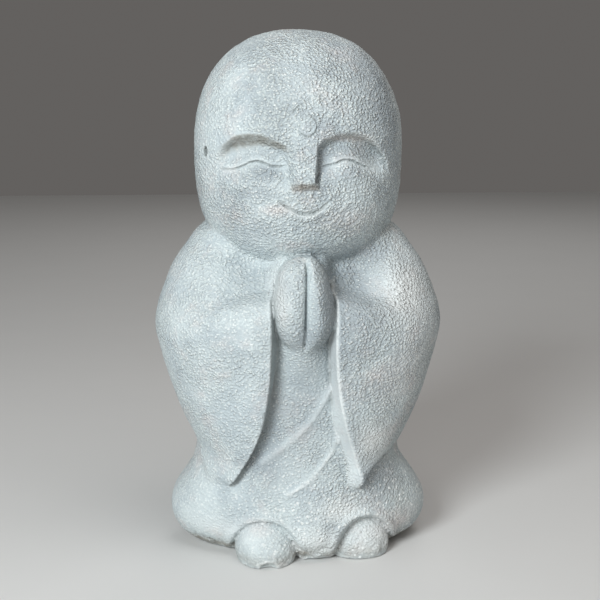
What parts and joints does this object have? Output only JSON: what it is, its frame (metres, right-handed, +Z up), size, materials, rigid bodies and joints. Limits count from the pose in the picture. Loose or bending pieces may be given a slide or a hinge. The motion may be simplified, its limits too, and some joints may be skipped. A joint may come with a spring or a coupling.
{
  "type": "stone jizo statue",
  "caption": "Garden statue of a stone jizo: a bald child monk with palms together, in a wide-sleeved robe over bare feet, standing on its own flat underside.",
  "frame": {"origin": "on the ground, in the flat underside, under the middle of the head", "axes": "+Z up, -Y the way the face looks, +X to the viewer's right"},
  "size_m": [0.3348, 0.2569, 0.6],
  "materials": {
    "pale_stone": "matt, pitted all over with a bush hammer, pale grey-green with brown stain in the cuts and along the hem"
  },
  "bodies": {
    "root": {"jizo_statue": "pale_stone"}
  },
  "joints": []
}
